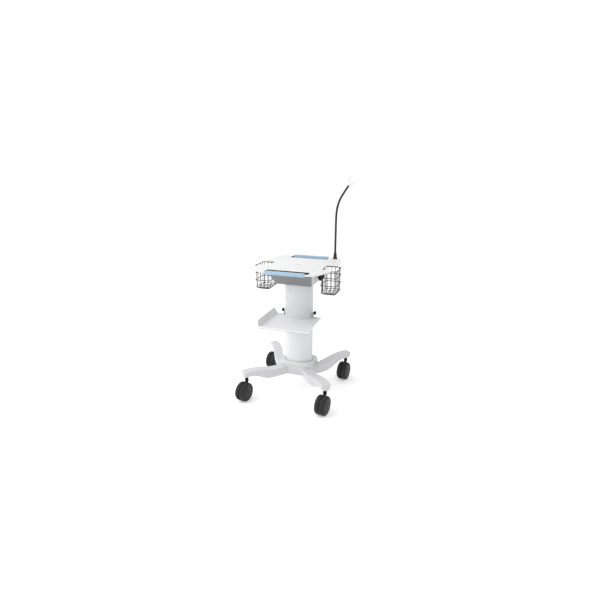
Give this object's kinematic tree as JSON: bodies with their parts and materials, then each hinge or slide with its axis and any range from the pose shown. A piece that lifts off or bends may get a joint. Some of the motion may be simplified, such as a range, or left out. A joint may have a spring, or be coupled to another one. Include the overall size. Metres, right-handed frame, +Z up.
{
  "type": "mobile medical device cart",
  "caption": "Mobile cart for a portable ultrasound unit: four-arm caster base, oval column, tray, docking platform with two grips, two wire baskets, gooseneck cable holder.",
  "frame": {"origin": "centre of the footprint on the floor", "axes": "+X to the right seen from the front, +Y to the rear, +Z up along the column"},
  "size_m": [0.591, 0.6159, 1.3283],
  "materials": {
    "cast_white": "painted",
    "cover_white": "satin",
    "column_grey": "satin",
    "housing_grey": "matte",
    "platform_white": "matte",
    "grip_blue": "matte",
    "tray_white": "satin",
    "wire_black": "satin",
    "moulded_black": "matte",
    "tyre_grey": "matte",
    "hub_grey": "matte",
    "neck_black": "matte",
    "clip_white": "satin",
    "steel": "brushed"
  },
  "bodies": {
    "frame": {"base_frame": "cast_white", "base_collar": "cover_white", "column": "column_grey", "top_housing": "housing_grey", "platform_plate": "platform_white", "front_grip": "grip_blue", "rear_grip": "grip_blue", "basket_left": "wire_black", "basket_right": "wire_black", "basket_bracket_left": "moulded_black", "basket_bracket_right": "moulded_black", "caster_front_left_stem": "steel", "caster_front_right_stem": "steel", "caster_rear_left_stem": "steel", "caster_rear_right_stem": "steel", "column_foot_screw_front_left": "steel", "column_foot_screw_front_right": "steel", "column_foot_screw_rear_left": "steel", "column_foot_screw_rear_right": "steel", "platform_screw_front_left": "steel", "platform_screw_front_right": "steel", "platform_screw_rear_left": "steel", "platform_screw_rear_right": "steel"},
    "tray": {"tray": "tray_white", "tray_clamp_left": "tray_white", "tray_clamp_right": "tray_white", "tray_slot_nut_left": "steel", "tray_slot_nut_right": "steel"},
    "tray_knob_left": {"tray_knob_left": "moulded_black"},
    "tray_knob_right": {"tray_knob_right": "moulded_black"},
    "neck_lower": {"gooseneck_foot": "neck_black", "gooseneck_nut": "steel", "gooseneck_lower": "neck_black"},
    "neck_upper": {"gooseneck_upper": "neck_black", "clip_collar": "clip_white"},
    "clip": {"clip_fork": "clip_white"},
    "caster_front_left": {"caster_front_left_body": "moulded_black", "caster_front_left_axle": "steel"},
    "wheel_front_left_left": {"caster_front_left_left_tyre": "tyre_grey", "caster_front_left_left_hub": "hub_grey"},
    "wheel_front_left_right": {"caster_front_left_right_tyre": "tyre_grey", "caster_front_left_right_hub": "hub_grey"},
    "caster_front_right": {"caster_front_right_body": "moulded_black", "caster_front_right_axle": "steel"},
    "wheel_front_right_left": {"caster_front_right_left_tyre": "tyre_grey", "caster_front_right_left_hub": "hub_grey"},
    "wheel_front_right_right": {"caster_front_right_right_tyre": "tyre_grey", "caster_front_right_right_hub": "hub_grey"},
    "caster_rear_left": {"caster_rear_left_body": "moulded_black", "caster_rear_left_axle": "steel"},
    "wheel_rear_left_left": {"caster_rear_left_left_tyre": "tyre_grey", "caster_rear_left_left_hub": "hub_grey"},
    "wheel_rear_left_right": {"caster_rear_left_right_tyre": "tyre_grey", "caster_rear_left_right_hub": "hub_grey"},
    "caster_rear_right": {"caster_rear_right_body": "moulded_black", "caster_rear_right_axle": "steel"},
    "wheel_rear_right_left": {"caster_rear_right_left_tyre": "tyre_grey", "caster_rear_right_left_hub": "hub_grey"},
    "wheel_rear_right_right": {"caster_rear_right_right_tyre": "tyre_grey", "caster_rear_right_right_hub": "hub_grey"}
  },
  "joints": [
    {"name": "caster_front_left_swivel", "type": "hinge", "parent": "frame", "child": "caster_front_left", "pos_m": [-0.251, -0.215, 0], "axis": [0, 0, 1], "continuous": true},
    {"name": "wheel_front_left_left_spin", "type": "hinge", "parent": "caster_front_left", "child": "wheel_front_left_left", "pos_m": [-0.25656, -0.24651, 0.058], "axis": [0.9848, -0.1736, 0], "continuous": true},
    {"name": "wheel_front_left_right_spin", "type": "hinge", "parent": "caster_front_left", "child": "wheel_front_left_right", "pos_m": [-0.25656, -0.24651, 0.058], "axis": [0.9848, -0.1736, 0], "continuous": true},
    {"name": "caster_front_right_swivel", "type": "hinge", "parent": "frame", "child": "caster_front_right", "pos_m": [0.251, -0.215, 0], "axis": [0, 0, 1], "continuous": true},
    {"name": "wheel_front_right_left_spin", "type": "hinge", "parent": "caster_front_right", "child": "wheel_front_right_left", "pos_m": [0.24599, -0.24661, 0.058], "axis": [0.9877, -0.1564, 0], "continuous": true},
    {"name": "wheel_front_right_right_spin", "type": "hinge", "parent": "caster_front_right", "child": "wheel_front_right_right", "pos_m": [0.24599, -0.24661, 0.058], "axis": [0.9877, -0.1564, 0], "continuous": true},
    {"name": "caster_rear_left_swivel", "type": "hinge", "parent": "frame", "child": "caster_rear_left", "pos_m": [-0.259, 0.273, 0], "axis": [0, 0, 1], "continuous": true},
    {"name": "wheel_rear_left_left_spin", "type": "hinge", "parent": "caster_rear_left", "child": "wheel_rear_left_left", "pos_m": [-0.26234, 0.24118, 0.058], "axis": [0.9945, -0.1045, 0], "continuous": true},
    {"name": "wheel_rear_left_right_spin", "type": "hinge", "parent": "caster_rear_left", "child": "wheel_rear_left_right", "pos_m": [-0.26234, 0.24118, 0.058], "axis": [0.9945, -0.1045, 0], "continuous": true},
    {"name": "caster_rear_right_swivel", "type": "hinge", "parent": "frame", "child": "caster_rear_right", "pos_m": [0.259, 0.273, 0], "axis": [0, 0, 1], "continuous": true},
    {"name": "wheel_rear_right_left_spin", "type": "hinge", "parent": "caster_rear_right", "child": "wheel_rear_right_left", "pos_m": [0.25455, 0.24131, 0.058], "axis": [0.9903, -0.1392, 0], "continuous": true},
    {"name": "wheel_rear_right_right_spin", "type": "hinge", "parent": "caster_rear_right", "child": "wheel_rear_right_right", "pos_m": [0.25455, 0.24131, 0.058], "axis": [0.9903, -0.1392, 0], "continuous": true},
    {"name": "tray_height", "type": "slide", "parent": "frame", "child": "tray", "axis": [0, 0, 1], "range_m": [-0.24, 0.13]},
    {"name": "tray_knob_left_turn", "type": "hinge", "parent": "tray", "child": "tray_knob_left", "pos_m": [-0.105, 0.047, 0.515], "axis": [-1, 0, 0], "range_deg": [0, 360]},
    {"name": "tray_knob_right_turn", "type": "hinge", "parent": "tray", "child": "tray_knob_right", "pos_m": [0.105, 0.047, 0.515], "axis": [1, 0, 0], "range_deg": [0, 360]},
    {"name": "gooseneck_swivel", "type": "hinge", "parent": "frame", "child": "neck_lower", "pos_m": [0.166, 0.281, 0.816], "axis": [0, 0, 1], "range_deg": [-170, 170]},
    {"name": "gooseneck_bend", "type": "hinge", "parent": "neck_lower", "child": "neck_upper", "pos_m": [0.166, 0.281, 1.04], "axis": [0, 1, 0], "range_deg": [-80, 60]},
    {"name": "clip_turn", "type": "hinge", "parent": "neck_upper", "child": "clip", "pos_m": [0.24, 0.281, 1.276], "axis": [0.545, 0, 0.8384], "range_deg": [-180, 180]}
  ]
}
